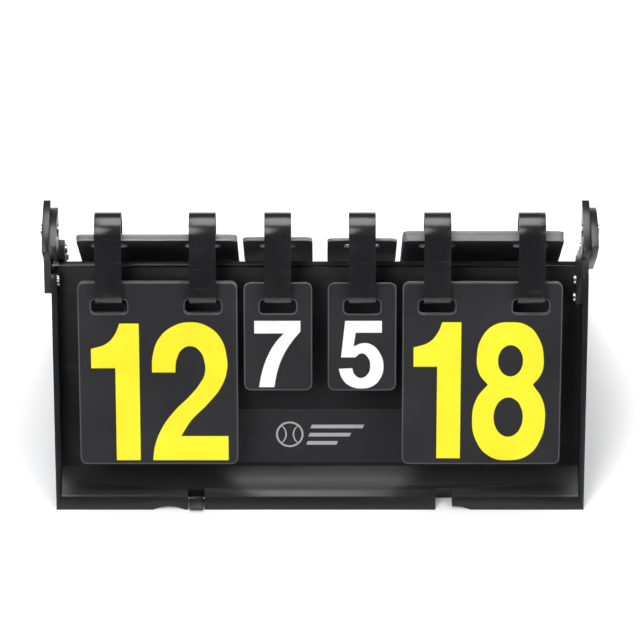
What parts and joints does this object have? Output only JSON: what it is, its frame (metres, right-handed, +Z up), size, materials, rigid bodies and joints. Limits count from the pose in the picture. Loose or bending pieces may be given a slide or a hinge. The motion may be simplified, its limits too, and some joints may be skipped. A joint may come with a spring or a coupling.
{
  "type": "folding flip scoreboard",
  "caption": "Folding case scoreboard that stands as an A-frame, with numbered leaves that flip over open rings along its ridge.",
  "frame": {"origin": "on the floor, below the middle of the hinge axis", "axes": "+X along the hinge axis, +Y towards the back half, +Z up; the front half with the rings faces -Y"},
  "size_m": [0.3972, 0.218, 0.2007],
  "materials": {
    "case_plastic": "satin black moulded plastic",
    "ring_plastic": "satin black moulded plastic",
    "leaf_sheet": "semi-matt black PVC sheet",
    "label": "matt black label",
    "steel": "bright zinc-plated steel"
  },
  "bodies": {
    "front_half": {"front_case": "case_plastic", "front_ear_outer": "case_plastic", "front_ear_inner": "case_plastic", "front_ear_screws": "steel", "front_label": "label", "front_latch_pin": "steel", "front_stack_1": "leaf_sheet", "front_stack_2": "leaf_sheet", "front_stack_3": "leaf_sheet", "front_stack_4": "leaf_sheet", "hinge_pins": "steel", "pin_heads": "steel", "ring_screws": "steel", "ring_1": "ring_plastic", "ring_2": "ring_plastic", "ring_3": "ring_plastic", "ring_4": "ring_plastic", "ring_5": "ring_plastic", "ring_6": "ring_plastic"},
    "back_half": {"back_case": "case_plastic", "back_ear_outer": "case_plastic", "back_ear_inner": "case_plastic", "back_ear_screws": "steel", "back_label": "label", "back_latch_pin": "steel", "back_stack_1": "leaf_sheet", "back_stack_2": "leaf_sheet", "back_stack_3": "leaf_sheet", "back_stack_4": "leaf_sheet"},
    "front_latch": {"front_latch": "case_plastic"},
    "back_latch": {"back_latch": "case_plastic"},
    "leaf_1": {"front_leaf_1": "leaf_sheet"},
    "leaf_2": {"front_leaf_2": "leaf_sheet"},
    "leaf_3": {"front_leaf_3": "leaf_sheet"},
    "leaf_4": {"front_leaf_4": "leaf_sheet"}
  },
  "joints": [
    {"name": "fold", "type": "hinge", "parent": "front_half", "child": "back_half", "pos_m": [0, 0, 0.18619], "axis": [1, 0, 0], "range_deg": [0, 299], "deforming": ["back_stack_1", "back_stack_2", "back_stack_3", "back_stack_4"]},
    {"name": "front_latch_pivot", "type": "hinge", "parent": "front_half", "child": "front_latch", "pos_m": [-0.09, -0.09852, 0.00255], "axis": [-1, 0, 0], "range_deg": [0, 60]},
    {"name": "back_latch_pivot", "type": "hinge", "parent": "back_half", "child": "back_latch", "pos_m": [0.09, 0.09852, 0.00255], "axis": [1, 0, 0], "range_deg": [0, 60]},
    {"name": "leaf_1_lift", "type": "hinge", "parent": "front_half", "child": "leaf_1", "pos_m": [-0.116, -0.03328, 0.14895], "axis": [-1, 0, 0], "range_deg": [0, 55], "deforming": ["front_leaf_1"]},
    {"name": "leaf_2_lift", "type": "hinge", "parent": "front_half", "child": "leaf_2", "pos_m": [-0.03, -0.03328, 0.14895], "axis": [-1, 0, 0], "range_deg": [0, 55], "deforming": ["front_leaf_2"]},
    {"name": "leaf_3_lift", "type": "hinge", "parent": "front_half", "child": "leaf_3", "pos_m": [0.03, -0.03328, 0.14895], "axis": [-1, 0, 0], "range_deg": [0, 55], "deforming": ["front_leaf_3"]},
    {"name": "leaf_4_lift", "type": "hinge", "parent": "front_half", "child": "leaf_4", "pos_m": [0.116, -0.03328, 0.14895], "axis": [-1, 0, 0], "range_deg": [0, 55], "deforming": ["front_leaf_4"]}
  ]
}
